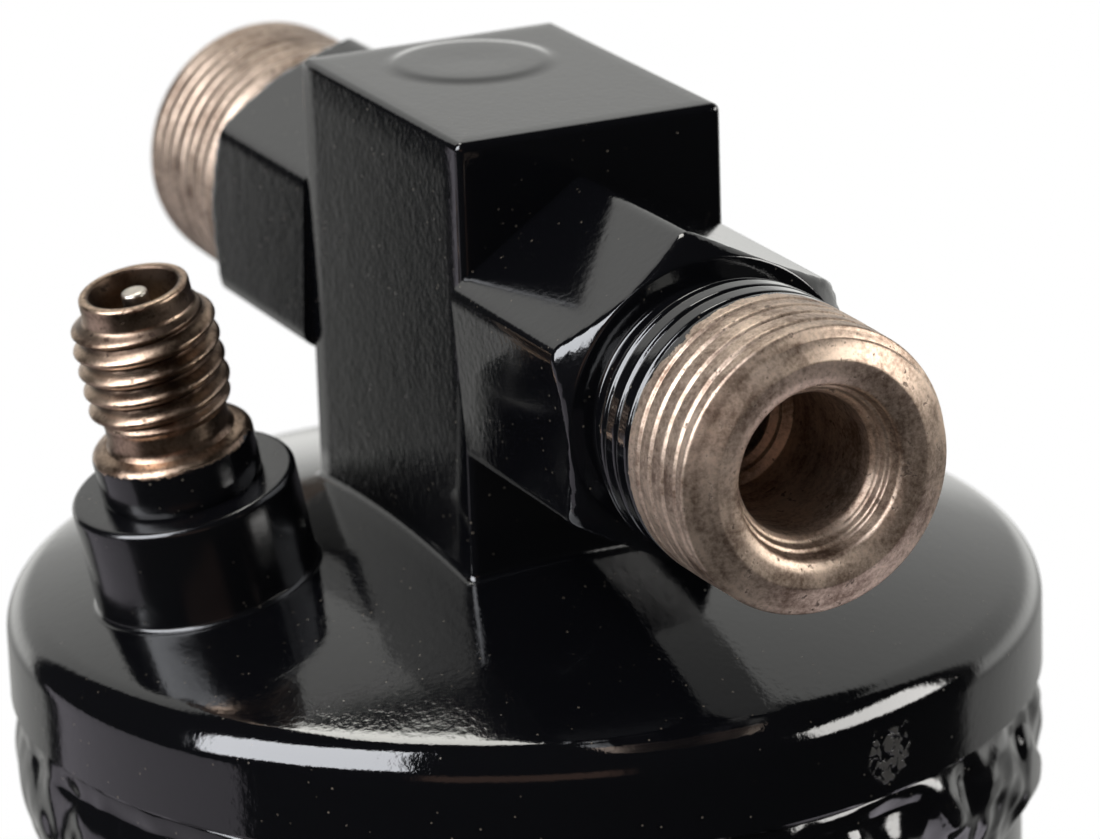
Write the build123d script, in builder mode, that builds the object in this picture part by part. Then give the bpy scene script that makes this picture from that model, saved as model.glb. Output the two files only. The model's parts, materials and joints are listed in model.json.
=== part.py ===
from build123d import *
from math import asin, degrees, sqrt
import os

os.makedirs("parts", exist_ok=True)

# Receiver drier: a steel canister with a port block on its domed cap.
# Origin at the middle of the flat base, +Z up the canister, outlet fitting
# toward +X, inlet fitting toward -X, service valve on the -Y side. Millimetres.

# Canister shell
shell_diameter = 76.2
shell_wall = 1.6
shell_height = 225.0  # base to the open rim
base_corner = 4.0  # outside radius between wall and base

# Cap, pushed over the rim of the shell
cap_wall = 1.6
cap_fit = 0.05  # radial gap between rim and skirt
cap_lap = 5.0  # rim inside the skirt
skirt_height = 5.35
shoulder_radius = 3.2
crown_radius = 125.0

# Weld bead that closes the seam, from the skirt's edge down the shell
bead_height = 11.4
bead_crest = 0.3  # proud of the cap

# Port block
block_length = 28.6  # along the fittings
block_width = 21.4
block_above = 16.5  # top face above the fitting axis
block_below = 15.7  # crown's top below the fitting axis
passage_offset = 6.3  # vertical drillings each side of the middle
passage_radius = 3.6  # cross drillings
inlet_drop_radius = 4.2
block_round = 0.6
braze_leg = 0.9
flow_gap = 0.3  # margin of the cap's drillings round what they pass

# Closing plug of the drilling from the top
plug_head_radius = 6.1
plug_head_height = 0.45
plug_stem_radius = 5.2
plug_stem_depth = 3.0
plug_chamfer = 0.2

# Hose fittings, measured outward from the face of the block
hex_flats = 22.4
hex_length = 18.5
hex_chamfer = 1.8
outlet_clock = 4.0  # turn of each hexagon about its own axis
inlet_clock = -2.5
spigot_radius = 8.0
spigot_depth = 4.0
spigot_fit = 0.05
relief_radius = 9.2
relief_length = 1.8
thread_radius = 10.45  # outside radius over the thread
fitting_length = 35.2  # block to end face
thread_lead = 0.2  # bevel where the thread starts
nose_radius = 8.0  # foremost edge of the end face
nose_height = 1.0
mouth_radius = 6.2
mouth_depth = 0.25
entry_depth = 2.6  # foot of the cone from mouth to bore
bore_radius = 5.1
bore_depth = 14.0
waist_radius = 3.7
waist_bevel = 0.6
preform_leg = 0.8  # brazing ring at the root of the spigot

# Service valve, heights measured from the crown along the valve's axis
port_inset = 14.05  # from the outside of the cap
port_turn = -2.2  # round the canister, from straight sideways
port_lean = 2.5  # toward the outlet
boss_radius = 8.5
boss_height = 8.1
boss_rim = 1.0
boss_sink = 2.0
stub_radius = 4.5
stub_depth = 5.6
stub_fit = 0.05
collar_radius = 6.1
collar_height = 3.5
collar_round = 1.6
neck_radius = 4.6
neck_end = 14.45
valve_thread_radius = 5.45  # outside radius over the thread
valve_thread_end = 22.2
valve_thread_bevel = 0.7
tip_radius = 4.15
valve_length = 24.25
tip_round = 0.4
valve_mouth_radius = 3.35
valve_mouth_depth = 3.4
port_hole_radius = 2.4

# Valve core and its pin
core_radius = 2.9
core_wall = 0.9
core_fit = 0.03
core_length = 7.6
core_floor = 1.0
seal_height = 1.2
seat_radius = 1.4
pin_radius = 0.7
pin_head_radius = 1.0
pin_head_height = 1.6
pin_proud = 3.1  # above the core
pin_fit = 0.08
collet_radius = 1.6
collet_height = 0.8
collet_drop = 0.8  # below the top of the core
poppet_radius = 2.0
poppet_height = 1.4
poppet_gap = 0.05  # below the seal
spring_radius = 1.3
spring_wire = 0.2
spring_turns = 5
lower_bore = 2.5

# Pick-up tube and strainer
tube_radius = 4.75
tube_wall = 0.9
tube_fit = 0.05
tube_socket = 6.0  # tube inside the block
tube_foot = 9.0  # open end above the base
strainer_radius = 11.0
strainer_wall = 1.2
strainer_height = 16.0
strainer_window = 5.0
screen_wall = 0.4

# Desiccant pack
pack_fit = 0.2
stand_gap = 2.5  # from the shell
stand_wall = 1.2
stand_height = 18.0
stand_window = 10.0
plate_thickness = 1.5
plate_hole_radius = 2.0
pad_thickness = 5.0
bed_height = 142.0
pack_spring_gap = 10.5  # from the shell to the middle of the wire
pack_spring_wire = 1.3
pack_spring_turns = 5

# Values that follow from the ones above
shell_radius = shell_diameter / 2
shell_bore = shell_radius - shell_wall
skirt_bore = shell_radius + cap_fit
cap_radius = skirt_bore + cap_wall
skirt_edge = shell_height - cap_lap
shoulder_level = skirt_edge + skirt_height
corner_reach = cap_radius - shoulder_radius  # shoulder's centre from the axis
crown_angle = degrees(asin(corner_reach / (crown_radius - shoulder_radius)))
crown_rise = crown_radius - sqrt((crown_radius - shoulder_radius) ** 2 - corner_reach**2)
crown_top = shoulder_level + crown_rise
crown_centre = crown_top - crown_radius
axis_level = crown_top + block_below
block_top = axis_level + block_above
crown_inner = crown_radius - cap_wall

# Port frame: square to the crown, then leaned
port_tilt = degrees(asin((cap_radius - port_inset) / crown_radius))
port_base = Vector(0, 0, crown_radius).rotate(Axis.X, port_tilt)
port_base = port_base.rotate(Axis.Z, port_turn) + Vector(0, 0, crown_centre)
port_direction = Vector(0, 0, 1).rotate(Axis.X, port_tilt).rotate(Axis.Y, port_lean)
port_plane = Plane(origin=port_base, z_dir=port_direction)
port_side = Plane(port_base, x_dir=port_plane.x_dir, z_dir=-port_plane.y_dir)
port_axis = Axis(port_base, port_direction)

# Stations along the port's axis
core_top = valve_length - valve_mouth_depth
core_foot = core_top - core_length
core_bore = core_radius - core_wall
seal_foot = core_foot - seal_height
poppet_foot = seal_foot - poppet_gap - poppet_height
collet_foot = core_top - collet_drop - collet_height
pin_top = core_top + pin_proud

# Levels inside the canister
stand_radius = shell_bore - stand_gap
pack_spring_radius = shell_bore - pack_spring_gap
tube_top = crown_top + tube_socket
bed_foot = shell_wall + stand_height + plate_thickness + pad_thickness
pack_top = bed_foot + bed_height + pad_thickness + plate_thickness
spring_ceiling = crown_centre + sqrt(crown_inner**2 - (pack_spring_radius + pack_spring_wire) ** 2)
pack_spring_rise = spring_ceiling - pack_top - 2 * pack_spring_wire

# Solid ball of the crown, to shape what sits on it
with BuildPart() as crown_ball:
    with Locations((0, 0, crown_centre)):
        Sphere(crown_radius)

# Lower shell: deep drawn can with a flat base
with BuildPart() as lower_shell:
    Cylinder(shell_radius, shell_height, align=(Align.CENTER, Align.CENTER, Align.MIN))
    fillet(lower_shell.faces().sort_by(Axis.Z)[0].edges(), base_corner)
    offset(
        amount=-shell_wall,
        openings=lower_shell.faces().filter_by(GeomType.PLANE).sort_by(Axis.Z)[-1],
    )
lower_shell.part.label = "lower_shell"
export_step(lower_shell.part, "parts/lower_shell.step")

# Top cap: shallow crown, tight shoulder and short skirt, drilled for the ports
with BuildPart() as top_cap:
    with BuildSketch(Plane.XZ):
        with BuildLine():
            corner_centre = (corner_reach, shoulder_level)
            Polyline(
                (skirt_bore, shoulder_level),
                (skirt_bore, skirt_edge),
                (cap_radius, skirt_edge),
                (cap_radius, shoulder_level),
            )
            CenterArc(corner_centre, shoulder_radius, 0, 90 - crown_angle)
            CenterArc((0, crown_centre), crown_radius, 90 - crown_angle, crown_angle)
            Line((0, crown_top), (0, crown_centre + crown_inner))
            CenterArc((0, crown_centre), crown_inner, 90 - crown_angle, crown_angle)
            CenterArc(corner_centre, shoulder_radius - cap_wall, 0, 90 - crown_angle)
        make_face()
    revolve(axis=Axis.Z)
    with BuildSketch(Plane.XY.offset(crown_top)):
        with Locations((-passage_offset, 0)):
            Circle(inlet_drop_radius + flow_gap)
        with Locations((passage_offset, 0)):
            Circle(tube_radius + flow_gap)
    extrude(amount=-crown_rise, mode=Mode.SUBTRACT)
    with BuildSketch(port_plane):
        Circle(port_hole_radius)
    extrude(amount=crown_rise / 2, both=True, mode=Mode.SUBTRACT)
top_cap.part.label = "top_cap"
export_step(top_cap.part, "parts/top_cap.step")

# Seam weld: one run of bead under the skirt's edge
with BuildPart() as seam_weld:
    with BuildSketch(Plane.XZ):
        with BuildLine():
            toe = (shell_radius, skirt_edge - bead_height)
            crest = (cap_radius + bead_crest, skirt_edge - bead_height / 2)
            knee = (cap_radius - bead_crest, skirt_edge - bead_height * 0.82)
            ThreePointArc(toe, knee, crest)
            ThreePointArc(
                crest,
                (cap_radius + bead_crest * 0.8, skirt_edge - bead_height / 4),
                (cap_radius, skirt_edge),
            )
            Polyline((cap_radius, skirt_edge), (shell_radius, skirt_edge), toe)
        make_face()
    revolve(axis=Axis.Z)
seam_weld.part.label = "seam_weld"
export_step(seam_weld.part, "parts/seam_weld.step")

# Port block: bar stock shaped to the crown, cross drilled for both lines
with BuildPart() as port_block:
    with BuildSketch(Plane.XY.offset(crown_centre + crown_inner)):
        Rectangle(block_length, block_width)
    extrude(amount=block_top - crown_centre - crown_inner)
    rims = port_block.faces().sort_by(Axis.Z)[-1].edges()
    fillet(rims + port_block.edges().filter_by(Axis.Z), block_round)
    add(crown_ball.part, mode=Mode.SUBTRACT)
    for side in (-1, 1):
        face = Plane((side * block_length / 2, 0, axis_level), z_dir=(side, 0, 0))
        with BuildSketch(face):
            Circle(spigot_radius + spigot_fit)
        extrude(amount=-spigot_depth, mode=Mode.SUBTRACT)
        with BuildSketch(face):
            Circle(passage_radius)
        extrude(amount=passage_offset - block_length / 2, mode=Mode.SUBTRACT)
        rims = port_block.edges().filter_by(GeomType.CIRCLE)
        rims = rims.filter_by(lambda rim: abs(rim.radius - spigot_radius - spigot_fit) < spigot_fit)
        chamfer(rims.group_by(Axis.X)[0 if side < 0 else -1], preform_leg)
    with BuildSketch(Plane.XY.offset(block_top)):
        with Locations((-passage_offset, 0)):
            Circle(inlet_drop_radius)
    extrude(amount=crown_centre - block_top, mode=Mode.SUBTRACT)
    with BuildSketch(Plane.XY.offset(block_top)):
        with Locations((-passage_offset, 0)):
            Circle(plug_stem_radius)
    extrude(amount=-plug_stem_depth, mode=Mode.SUBTRACT)
    with BuildSketch(Plane.XY.offset(axis_level)):
        with Locations((passage_offset, 0)):
            Circle(passage_radius)
    extrude(amount=-block_below, mode=Mode.SUBTRACT)
    with BuildSketch(Plane.XY.offset(tube_top)):
        with Locations((passage_offset, 0)):
            Circle(tube_radius + tube_fit)
    extrude(amount=-tube_socket - cap_wall, mode=Mode.SUBTRACT)
port_block.part.label = "port_block"
export_step(port_block.part, "parts/port_block.step")

# Braze round the foot of the block, following the crown
with BuildPart() as block_braze:
    with BuildSketch(Plane.XY.offset(crown_centre + crown_inner)):
        RectangleRounded(block_length + 2 * braze_leg, block_width + 2 * braze_leg, braze_leg)
        Rectangle(block_length, block_width, mode=Mode.SUBTRACT)
    extrude(amount=cap_wall + braze_leg)
    with Locations((0, 0, crown_centre)):
        Sphere(crown_radius + braze_leg, mode=Mode.INTERSECT)
    add(crown_ball.part, mode=Mode.SUBTRACT)
block_braze.part.label = "block_braze"
export_step(block_braze.part, "parts/block_braze.step")

# Closing plug, pressed into the top of the inlet drilling
with BuildPart() as block_plug:
    with BuildSketch(Plane.XY.offset(block_top)):
        with Locations((-passage_offset, 0)):
            Circle(plug_head_radius)
    extrude(amount=plug_head_height)
    chamfer(block_plug.faces().sort_by(Axis.Z)[-1].edges(), plug_chamfer)
    with BuildSketch(Plane.XY.offset(block_top)):
        with Locations((-passage_offset, 0)):
            Circle(plug_stem_radius)
    extrude(amount=-plug_stem_depth)
block_plug.part.label = "block_plug"
export_step(block_plug.part, "parts/block_plug.step")

# Hose fittings: hexagon, thread relief, threaded nose and stepped bore
for name, side, clock in (("outlet", 1, outlet_clock), ("inlet", -1, inlet_clock)):
    root = Vector(side * block_length / 2, 0, axis_level)
    section = Plane(root, x_dir=(side, 0, 0), z_dir=(0, -side, 0))
    line = Axis(root, (side, 0, 0))
    with BuildPart() as fitting:
        with BuildSketch(Plane(root, x_dir=(0, side, 0), z_dir=(side, 0, 0))):
            RegularPolygon(hex_flats / 2, 6, major_radius=False, rotation=90 + side * clock)
        extrude(amount=hex_length)
        corner = hex_flats / sqrt(3)
        with BuildSketch(section):
            with BuildLine():
                Polyline(
                    (0, 0),
                    (0, corner - hex_chamfer / 2),
                    (hex_chamfer / 4, corner),
                    (hex_length - hex_chamfer, corner),
                    (hex_length, corner - hex_chamfer),
                    (hex_length, 0),
                    close=True,
                )
            make_face()
        revolve(axis=line, mode=Mode.INTERSECT)
        with BuildSketch(section):
            with BuildLine():
                nose = fitting_length - nose_height
                Polyline(
                    (-spigot_depth, 0),
                    (-spigot_depth, spigot_radius),
                    (0, spigot_radius),
                    (hex_length, relief_radius),
                    (hex_length + relief_length, relief_radius),
                    (hex_length + relief_length + thread_radius - relief_radius, thread_radius),
                    (nose - thread_lead, thread_radius),
                    (nose, thread_radius - thread_lead),
                    (fitting_length, nose_radius),
                    (fitting_length, 0),
                    close=True,
                )
            make_face()
        revolve(axis=line)
        with BuildSketch(section):
            with BuildLine():
                Polyline(
                    (-spigot_depth, 0),
                    (-spigot_depth, waist_radius),
                    (fitting_length - bore_depth - waist_bevel, waist_radius),
                    (fitting_length - bore_depth, bore_radius),
                    (fitting_length - entry_depth, bore_radius),
                    (fitting_length - mouth_depth, mouth_radius),
                    (fitting_length, nose_radius),
                    (fitting_length, 0),
                    close=True,
                )
            make_face()
        revolve(axis=line, mode=Mode.SUBTRACT)
    fitting.part.label = name + "_fitting"
    export_step(fitting.part, "parts/" + name + "_fitting.step")

    with BuildPart() as preform:
        with BuildSketch(section):
            with BuildLine():
                Polyline(
                    (0, spigot_radius),
                    (0, spigot_radius + spigot_fit + preform_leg),
                    (-preform_leg, spigot_radius + spigot_fit),
                    (-preform_leg, spigot_radius),
                    close=True,
                )
            make_face()
        revolve(axis=line)
    preform.part.label = name + "_braze"
    export_step(preform.part, "parts/" + name + "_braze.step")

# Valve boss, shaped to the crown
with BuildPart() as valve_boss:
    with BuildSketch(port_side) as boss_section:
        with BuildLine():
            Polyline(
                (port_hole_radius, -boss_sink),
                (boss_radius, -boss_sink),
                (boss_radius, boss_height),
                (stub_radius + stub_fit, boss_height),
                (stub_radius + stub_fit, boss_height - stub_depth),
                (port_hole_radius, boss_height - stub_depth),
                close=True,
            )
        make_face()
        rim = boss_section.vertices().group_by(Axis.Y)[-1].sort_by(Axis.X)[-1]
        fillet(rim, boss_rim)
    revolve(axis=port_axis)
    add(crown_ball.part, mode=Mode.SUBTRACT)
valve_boss.part.label = "valve_boss"
export_step(valve_boss.part, "parts/valve_boss.step")

# Braze fillet round the foot of the boss
with BuildPart() as boss_braze:
    with BuildSketch(port_side):
        with BuildLine():
            Polyline(
                (boss_radius, braze_leg),
                (boss_radius, -boss_sink),
                (boss_radius + boss_sink + braze_leg, -boss_sink),
                close=True,
            )
        make_face()
    revolve(axis=port_axis)
    add(crown_ball.part, mode=Mode.SUBTRACT)
boss_braze.part.label = "boss_braze"
export_step(boss_braze.part, "parts/boss_braze.step")

# Service valve body: stub, rounded collar, neck, threaded length and plain tip
with BuildPart() as service_valve:
    with BuildSketch(port_side):
        with BuildLine():
            stub_foot = boss_height - stub_depth
            collar_top = boss_height + collar_height
            thread_step = valve_thread_radius - neck_radius
            Polyline(
                (lower_bore, stub_foot),
                (stub_radius, stub_foot),
                (stub_radius, boss_height),
                (collar_radius, boss_height),
                (collar_radius, collar_top),
            )
            ThreePointArc(
                (collar_radius, collar_top),
                (collar_radius - collar_round * (1 - sqrt(0.5)), collar_top + collar_round * sqrt(0.5)),
                (collar_radius - collar_round, collar_top + collar_round),
            )
            Polyline(
                (collar_radius - collar_round, collar_top + collar_round),
                (neck_radius, collar_top + collar_round),
                (neck_radius, neck_end),
                (valve_thread_radius, neck_end + thread_step),
                (valve_thread_radius, valve_thread_end - valve_thread_bevel),
                (valve_thread_radius - valve_thread_bevel, valve_thread_end),
                (tip_radius, valve_thread_end),
                (tip_radius, valve_length - tip_round),
                (tip_radius - tip_round, valve_length),
                (valve_mouth_radius, valve_length),
                (valve_mouth_radius, core_top),
                (core_radius + core_fit, core_top),
                (core_radius + core_fit, seal_foot),
                (lower_bore, seal_foot),
                (lower_bore, stub_foot),
            )
        make_face()
    revolve(axis=port_axis)
service_valve.part.label = "service_valve"
export_step(service_valve.part, "parts/service_valve.step")

# Valve core: open barrel with a drilled floor
with BuildPart() as valve_core:
    with BuildSketch(port_side):
        with BuildLine():
            Polyline(
                (pin_radius + pin_fit, core_foot),
                (core_radius, core_foot),
                (core_radius, core_top),
                (core_bore, core_top),
                (core_bore, core_foot + core_floor),
                (pin_radius + pin_fit, core_foot + core_floor),
                close=True,
            )
        make_face()
    revolve(axis=port_axis)
valve_core.part.label = "valve_core"
export_step(valve_core.part, "parts/valve_core.step")

# Core seal, clamped between the barrel and the ledge of the valve body
with BuildPart() as core_seal:
    with BuildSketch(port_plane.offset(seal_foot)):
        Circle(core_radius)
        Circle(seat_radius, mode=Mode.SUBTRACT)
    extrude(amount=seal_height)
core_seal.part.label = "core_seal"
export_step(core_seal.part, "parts/core_seal.step")

# Valve pin with its head and spring collet
with BuildPart() as valve_pin:
    with BuildSketch(port_plane.offset(poppet_foot)):
        Circle(pin_radius)
    extrude(amount=pin_top - poppet_foot)
    with BuildSketch(port_plane.offset(pin_top - pin_head_height)):
        Circle(pin_head_radius)
    extrude(amount=pin_head_height)
    chamfer(valve_pin.faces().sort_by(port_axis)[-1].edges(), pin_head_radius * 0.3)
    with BuildSketch(port_plane.offset(collet_foot)):
        Circle(collet_radius)
    extrude(amount=collet_height)
valve_pin.part.label = "valve_pin"
export_step(valve_pin.part, "parts/valve_pin.step")

# Poppet on the foot of the pin, closing against the core seal
with BuildPart() as valve_poppet:
    with BuildSketch(port_plane.offset(poppet_foot)):
        Circle(poppet_radius)
        Circle(pin_radius, mode=Mode.SUBTRACT)
    extrude(amount=poppet_height)
valve_poppet.part.label = "valve_poppet"
export_step(valve_poppet.part, "parts/valve_poppet.step")

# Return spring between the barrel's floor and the collet
with BuildPart() as valve_spring:
    spring_foot = core_foot + core_floor + spring_wire
    spring_rise = collet_foot - spring_foot - spring_wire
    with BuildLine():
        coil = Helix(
            spring_rise / spring_turns,
            spring_rise,
            spring_radius,
            center=port_base + port_direction * spring_foot,
            direction=port_direction,
        )
    with BuildSketch(Plane(coil @ 0, z_dir=coil % 0)):
        Circle(spring_wire)
    sweep(path=coil, is_frenet=True)
valve_spring.part.label = "valve_spring"
export_step(valve_spring.part, "parts/valve_spring.step")

# Pick-up tube from the outlet drilling down to the strainer
with BuildPart() as pickup_tube:
    with BuildSketch(Plane.XY.offset(shell_wall + tube_foot)):
        with Locations((passage_offset, 0)):
            Circle(tube_radius)
            Circle(tube_radius - tube_wall, mode=Mode.SUBTRACT)
    extrude(amount=tube_top - shell_wall - tube_foot)
pickup_tube.part.label = "pickup_tube"
export_step(pickup_tube.part, "parts/pickup_tube.step")

# Strainer cage: a windowed cup that stands on the base round the tube's foot
with BuildPart() as strainer_cage:
    with BuildSketch(Plane.XY.offset(shell_wall)):
        with Locations((passage_offset, 0)):
            Circle(strainer_radius)
    extrude(amount=strainer_height)
    with BuildSketch(Plane.XY.offset(shell_wall)):
        with Locations((passage_offset, 0)):
            Circle(strainer_radius - strainer_wall)
    extrude(amount=strainer_height - strainer_wall, mode=Mode.SUBTRACT)
    with BuildSketch(Plane.XY.offset(shell_wall)):
        with Locations((passage_offset, 0)):
            Circle(tube_radius + tube_fit)
    extrude(amount=strainer_height, mode=Mode.SUBTRACT)
    with BuildSketch(Plane.XY.offset(shell_wall + 2 * strainer_wall)):
        with Locations((passage_offset, 0)):
            with PolarLocations(strainer_radius, 6):
                Rectangle(strainer_window, strainer_window)
    extrude(amount=strainer_height - 5 * strainer_wall, mode=Mode.SUBTRACT)
strainer_cage.part.label = "strainer_cage"
export_step(strainer_cage.part, "parts/strainer_cage.step")

# Strainer screen, a sleeve inside the cage
with BuildPart() as strainer_screen:
    with BuildSketch(Plane.XY.offset(shell_wall)):
        with Locations((passage_offset, 0)):
            Circle(strainer_radius - strainer_wall)
            Circle(strainer_radius - strainer_wall - screen_wall, mode=Mode.SUBTRACT)
    extrude(amount=strainer_height - strainer_wall)
strainer_screen.part.label = "strainer_screen"
export_step(strainer_screen.part, "parts/strainer_screen.step")

# Stand ring, with windows, that carries the desiccant pack
with BuildPart() as pack_stand:
    with BuildSketch(Plane.XY.offset(shell_wall)):
        Circle(stand_radius)
        Circle(stand_radius - stand_wall, mode=Mode.SUBTRACT)
    extrude(amount=stand_height)
    with BuildSketch(Plane.XY.offset(shell_wall + 3 * stand_wall)):
        with PolarLocations(stand_radius, 6):
            Rectangle(stand_window, stand_window)
    extrude(amount=stand_height - 6 * stand_wall, mode=Mode.SUBTRACT)
pack_stand.part.label = "pack_stand"
export_step(pack_stand.part, "parts/pack_stand.step")

# Desiccant pack: plate, pad, bed, pad and plate, each let through by the tube
stand_top = shell_wall + stand_height
for name, foot, height, holes in (
    ("lower_plate", stand_top, plate_thickness, True),
    ("lower_pad", stand_top + plate_thickness, pad_thickness, False),
    ("desiccant_bed", bed_foot, bed_height, False),
    ("upper_pad", bed_foot + bed_height, pad_thickness, False),
    ("upper_plate", bed_foot + bed_height + pad_thickness, plate_thickness, True),
):
    with BuildPart() as layer:
        with BuildSketch(Plane.XY.offset(foot)):
            Circle(shell_bore - pack_fit)
            with Locations((passage_offset, 0)):
                Circle(tube_radius + pack_fit, mode=Mode.SUBTRACT)
            if holes:
                with PolarLocations(shell_bore * 0.85, 16):
                    Circle(plate_hole_radius, mode=Mode.SUBTRACT)
                with PolarLocations(shell_bore * 0.6, 12):
                    Circle(plate_hole_radius, mode=Mode.SUBTRACT)
        extrude(amount=height)
    layer.part.label = name
    export_step(layer.part, "parts/" + name + ".step")

# Pack spring that holds the pack down under the cap
with BuildPart() as pack_spring:
    with BuildLine(Plane.XY.offset(pack_top + pack_spring_wire)):
        turns = Helix(pack_spring_rise / pack_spring_turns, pack_spring_rise, pack_spring_radius)
    with BuildSketch(Plane(turns @ 0, z_dir=turns % 0)):
        Circle(pack_spring_wire)
    sweep(path=turns, is_frenet=True)
pack_spring.part.label = "pack_spring"
export_step(pack_spring.part, "parts/pack_spring.step")
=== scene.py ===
import json
import math
import bpy
import numpy as np
from mathutils import Matrix, Vector

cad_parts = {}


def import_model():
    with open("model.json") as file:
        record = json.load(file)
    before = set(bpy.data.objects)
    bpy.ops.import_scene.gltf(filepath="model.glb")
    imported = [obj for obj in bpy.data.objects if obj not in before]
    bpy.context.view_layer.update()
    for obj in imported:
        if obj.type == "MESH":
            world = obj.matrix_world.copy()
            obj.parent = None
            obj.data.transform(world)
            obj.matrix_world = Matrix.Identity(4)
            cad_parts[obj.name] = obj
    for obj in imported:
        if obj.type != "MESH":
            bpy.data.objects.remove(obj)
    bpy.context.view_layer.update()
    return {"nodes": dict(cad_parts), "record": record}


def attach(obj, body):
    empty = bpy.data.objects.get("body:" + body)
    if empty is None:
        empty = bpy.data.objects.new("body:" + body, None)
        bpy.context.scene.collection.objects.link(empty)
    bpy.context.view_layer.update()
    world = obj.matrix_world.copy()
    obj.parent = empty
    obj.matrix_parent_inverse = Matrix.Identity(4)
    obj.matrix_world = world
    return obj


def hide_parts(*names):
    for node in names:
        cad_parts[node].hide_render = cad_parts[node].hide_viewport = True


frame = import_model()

print("frame loaded with", len(frame["nodes"]), "nodes")

mm = 0.001
canister = "canister"
stem = "valve_stem"

# the two lines that most pieces turn about, in mm: the hose fittings and the service valve
hoseLevel = 249.8634
valveFoot = np.array([-0.98657, -25.68106, 231.49286])
valveLine = np.array([0.0426875, -0.2056, 0.9777047])
crownCentre = 109.1634
crownRadius = 125.0


class Wire:
    # one socket of a node tree; arithmetic on it adds Math nodes
    def __init__(self, tree, socket):
        self.tree = tree
        self.socket = socket

    def calc(self, operation, *values, clamp=False):
        node = self.tree.nodes.new("ShaderNodeMath")
        node.operation = operation
        node.use_clamp = clamp
        for place, value in enumerate(values):
            if isinstance(value, Wire):
                self.tree.links.new(value.socket, node.inputs[place])
            else:
                node.inputs[place].default_value = value
        return Wire(self.tree, node.outputs[0])

    def __add__(self, other):
        return self.calc("ADD", self, other)

    def __sub__(self, other):
        return self.calc("SUBTRACT", self, other)

    def __rsub__(self, other):
        return self.calc("SUBTRACT", other, self)

    def __mul__(self, other):
        return self.calc("MULTIPLY", self, other)

    def __truediv__(self, other):
        return self.calc("DIVIDE", self, other)

    def __pow__(self, other):
        return self.calc("POWER", self, other)

    __radd__ = __add__
    __rmul__ = __mul__

    def clamp(self):
        return self.calc("ADD", self, 0.0, clamp=True)

    def step(self, low, high):
        # 0 below low and 1 above high, smooth between; low may be the larger one
        return self.add("ShaderNodeMapRange", {"interpolation_type": "SMOOTHSTEP"},
                        {"Value": self, "From Min": low, "From Max": high})

    def add(self, *words, **more):
        return addNode(self.tree, *words, **more)


def addNode(tree, kind, settings=None, sockets=None, out=0):
    # settings come first, a ramp's stops among them; then the sockets' values or links
    node = tree.nodes.new(kind)
    for name, value in (settings or {}).items():
        if name == "stops":
            points = node.color_ramp.elements
            while len(points) < len(value):
                points.new(1.0)
            for point, (place, colour) in zip(points, value):
                point.position = place
                point.color = (*colour, 1.0)
        else:
            setattr(node, name, value)
    for name, value in (sockets or {}).items():
        socket = node.inputs[name]
        if isinstance(value, Wire):
            tree.links.new(value.socket, socket)
        elif isinstance(value, tuple) and len(value) == 3 and socket.type == "RGBA":
            socket.default_value = (*value, 1.0)
        else:
            socket.default_value = value
    return Wire(tree, node.outputs[out])


def blend(tree, kind, factor, first, second):
    # a mix of two colours (kind RGBA) or of two directions (kind VECTOR)
    node = tree.nodes.new("ShaderNodeMix")
    node.data_type = kind
    for place, value in (("Factor", factor), ("A", first), ("B", second)):
        wanted = "VALUE" if place == "Factor" else kind
        socket = [s for s in node.inputs if s.name == place and s.type == wanted][0]
        if isinstance(value, Wire):
            tree.links.new(value.socket, socket)
        else:
            socket.default_value = (*value, 1.0) if wanted == "RGBA" else value
    return Wire(tree, [s for s in node.outputs if s.type == kind][0])


class Finish:
    # one material: its coordinates, its patterns and its Principled shader
    def __init__(self, name, fixed):
        self.material = bpy.data.materials.new(name)
        self.material.use_nodes = True
        self.tree = self.material.node_tree
        self.shader = self.tree.nodes["Principled BSDF"]
        for socket, value in fixed.items():
            target = self.shader.inputs[socket]
            target.default_value = (*value, 1.0) if target.type == "RGBA" else value
        self.place = self.add("ShaderNodeTexCoord", out="Object")

    def add(self, *words, **more):
        return addNode(self.tree, *words, **more)

    def axis(self, vector, which):
        return self.add("ShaderNodeSeparateXYZ", {}, {"Vector": vector}, out=which)

    def moved(self, vector, location=(0, 0, 0), rotation=(0, 0, 0), scale=(1, 1, 1)):
        return self.add("ShaderNodeMapping", {"vector_type": "POINT"},
                        {"Vector": vector, "Location": location, "Rotation": rotation, "Scale": scale})

    def noise(self, size, detail=3.0, rough=0.55, at=None, out=0, distortion=0.0):
        # size is the width of one blotch in mm
        return self.add("ShaderNodeTexNoise", {}, {
            "Vector": at or self.place, "Scale": 1000.0 / size, "Detail": detail,
            "Roughness": rough, "Distortion": distortion}, out=out)

    def spots(self, size, at=None):
        # distance from the nearest of many scattered points, in parts of their spacing
        return self.add("ShaderNodeTexVoronoi", {"feature": "F1"},
                        {"Vector": at or self.place, "Scale": 1000.0 / size})

    def mix(self, factor, first, second, kind="RGBA"):
        return blend(self.tree, kind, factor, first, second)

    def bump(self, height, depth, before=None):
        # depth in mm for a height from 0 to 1
        links = {"Height": height, "Strength": 1.0, "Distance": depth * mm}
        if before is not None:
            links["Normal"] = before
        return self.add("ShaderNodeBump", {}, links)

    def feed(self, **sockets):
        names = {"colour": "Base Color", "rough": "Roughness", "metal": "Metallic",
                 "coat": "Coat Weight", "normal": "Normal"}
        for name, wire in sockets.items():
            self.tree.links.new(wire.socket, self.shader.inputs[names[name]])
        return self.material


# ---- surfaces

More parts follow.
